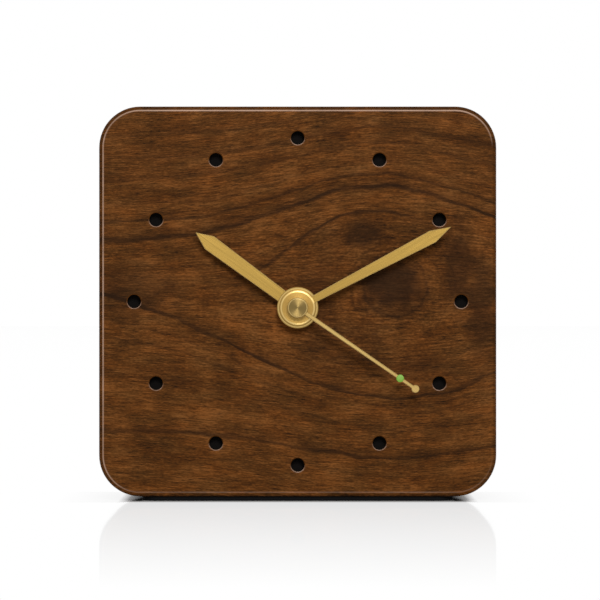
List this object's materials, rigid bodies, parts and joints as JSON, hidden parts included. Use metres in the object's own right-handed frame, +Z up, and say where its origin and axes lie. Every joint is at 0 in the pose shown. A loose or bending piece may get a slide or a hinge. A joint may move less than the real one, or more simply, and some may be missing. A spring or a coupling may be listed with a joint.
{
  "type": "desk clock",
  "caption": "Square wooden desk clock with rounded corners, drilled hour marks, brass hands and a battery quartz movement in a pocket at the back.",
  "frame": {"origin": "bottom centre of the whole clock's bounding box, on the surface that the rubber pad rests on", "axes": "+X to the right and +Z up as the dial is read, +Y from the dial to the back; the dial faces -Y"},
  "size_m": [0.1016, 0.0464, 0.1009],
  "materials": {
    "walnut": "oiled satin",
    "rubber": "matte",
    "brass": "satin, brushed along the hands",
    "housing_plastic": "fine moulded texture",
    "wheel_plastic": "natural, as moulded",
    "knob_plastic": "satin",
    "steel": "bright",
    "magnet": "ground",
    "copper_wire": "enamelled wire",
    "bobbin_plastic": "as moulded",
    "board_laminate": "laminate",
    "chip_resin": "domed resin",
    "cell_sleeve": "plain sleeve with steel ends",
    "lume": "luminous green"
  },
  "bodies": {
    "clock_case": {"wooden_case": "walnut", "base_pad": "rubber", "rubber_washer": "rubber", "threaded_bushing": "brass", "mounting_nut": "brass", "movement_housing": "housing_plastic", "movement_back_cover": "housing_plastic", "train_plate": "housing_plastic", "stator": "steel", "coil_core": "steel", "coil_bobbin": "bobbin_plastic", "coil_winding": "copper_wire", "circuit_board": "board_laminate", "chip_seal": "chip_resin", "quartz_crystal": "steel", "battery_contact_positive": "steel", "battery_contact_negative": "steel"},
    "battery": {"battery": "cell_sleeve"},
    "minute_hand": {"minute_arbor": "brass", "minute_hand": "brass"},
    "hour_hand": {"hour_wheel": "wheel_plastic", "hour_hand": "brass"},
    "motion_wheel": {"motion_wheel": "wheel_plastic"},
    "setting_knob": {"setting_arbor": "wheel_plastic", "setting_knob": "knob_plastic"},
    "seconds_hand": {"seconds_wheel": "wheel_plastic", "seconds_hand": "brass", "seconds_cap": "brass", "lume_dot": "lume"},
    "centre_wheel": {"centre_wheel": "wheel_plastic"},
    "third_wheel": {"third_wheel": "wheel_plastic"},
    "fifth_wheel": {"fifth_wheel": "wheel_plastic"},
    "rotor": {"rotor_pinion": "wheel_plastic", "rotor_magnet": "magnet"}
  },
  "joints": [
    {"name": "minute_hand_turn", "type": "hinge", "parent": "clock_case", "child": "minute_hand", "pos_m": [0, 0, 0.04945], "axis": [0, 1, 0], "continuous": true},
    {"name": "hour_hand_turn", "type": "hinge", "parent": "clock_case", "child": "hour_hand", "pos_m": [0, 0, 0.04945], "axis": [0, 1, 0], "continuous": true},
    {"name": "motion_wheel_turn", "type": "hinge", "parent": "clock_case", "child": "motion_wheel", "pos_m": [0.0096, 0, 0.04945], "axis": [0, 1, 0], "continuous": true},
    {"name": "setting_knob_turn", "type": "hinge", "parent": "clock_case", "child": "setting_knob", "pos_m": [0.01862, 0, 0.04617], "axis": [0, 1, 0], "continuous": true},
    {"name": "seconds_hand_turn", "type": "hinge", "parent": "clock_case", "child": "seconds_hand", "pos_m": [0, 0, 0.04945], "axis": [0, 1, 0], "continuous": true},
    {"name": "centre_wheel_turn", "type": "hinge", "parent": "clock_case", "child": "centre_wheel", "pos_m": [0, 0, 0.04945], "axis": [0, 1, 0], "continuous": true},
    {"name": "third_wheel_turn", "type": "hinge", "parent": "clock_case", "child": "third_wheel", "pos_m": [-0.01058, 0, 0.05228], "axis": [0, 1, 0], "continuous": true},
    {"name": "fifth_wheel_turn", "type": "hinge", "parent": "clock_case", "child": "fifth_wheel", "pos_m": [0, 0, 0.06074], "axis": [0, 1, 0], "continuous": true},
    {"name": "rotor_turn", "type": "hinge", "parent": "clock_case", "child": "rotor", "pos_m": [0.00552, 0, 0.06537], "axis": [0, 1, 0], "continuous": true},
    {"name": "battery_slide", "type": "slide", "parent": "clock_case", "child": "battery", "axis": [0, 1, 0], "range_m": [0, 0.03]}
  ],
  "couplings": [
    {"joint": "hour_hand_turn", "follows": "minute_hand_turn", "ratio": 0.083333},
    {"joint": "motion_wheel_turn", "follows": "minute_hand_turn", "ratio": -0.33333},
    {"joint": "setting_knob_turn", "follows": "minute_hand_turn", "ratio": 1},
    {"joint": "third_wheel_turn", "follows": "seconds_hand_turn", "ratio": -0.13333},
    {"joint": "centre_wheel_turn", "follows": "seconds_hand_turn", "ratio": 0.016667},
    {"joint": "fifth_wheel_turn", "follows": "seconds_hand_turn", "ratio": -6},
    {"joint": "rotor_turn", "follows": "seconds_hand_turn", "ratio": 30}
  ]
}
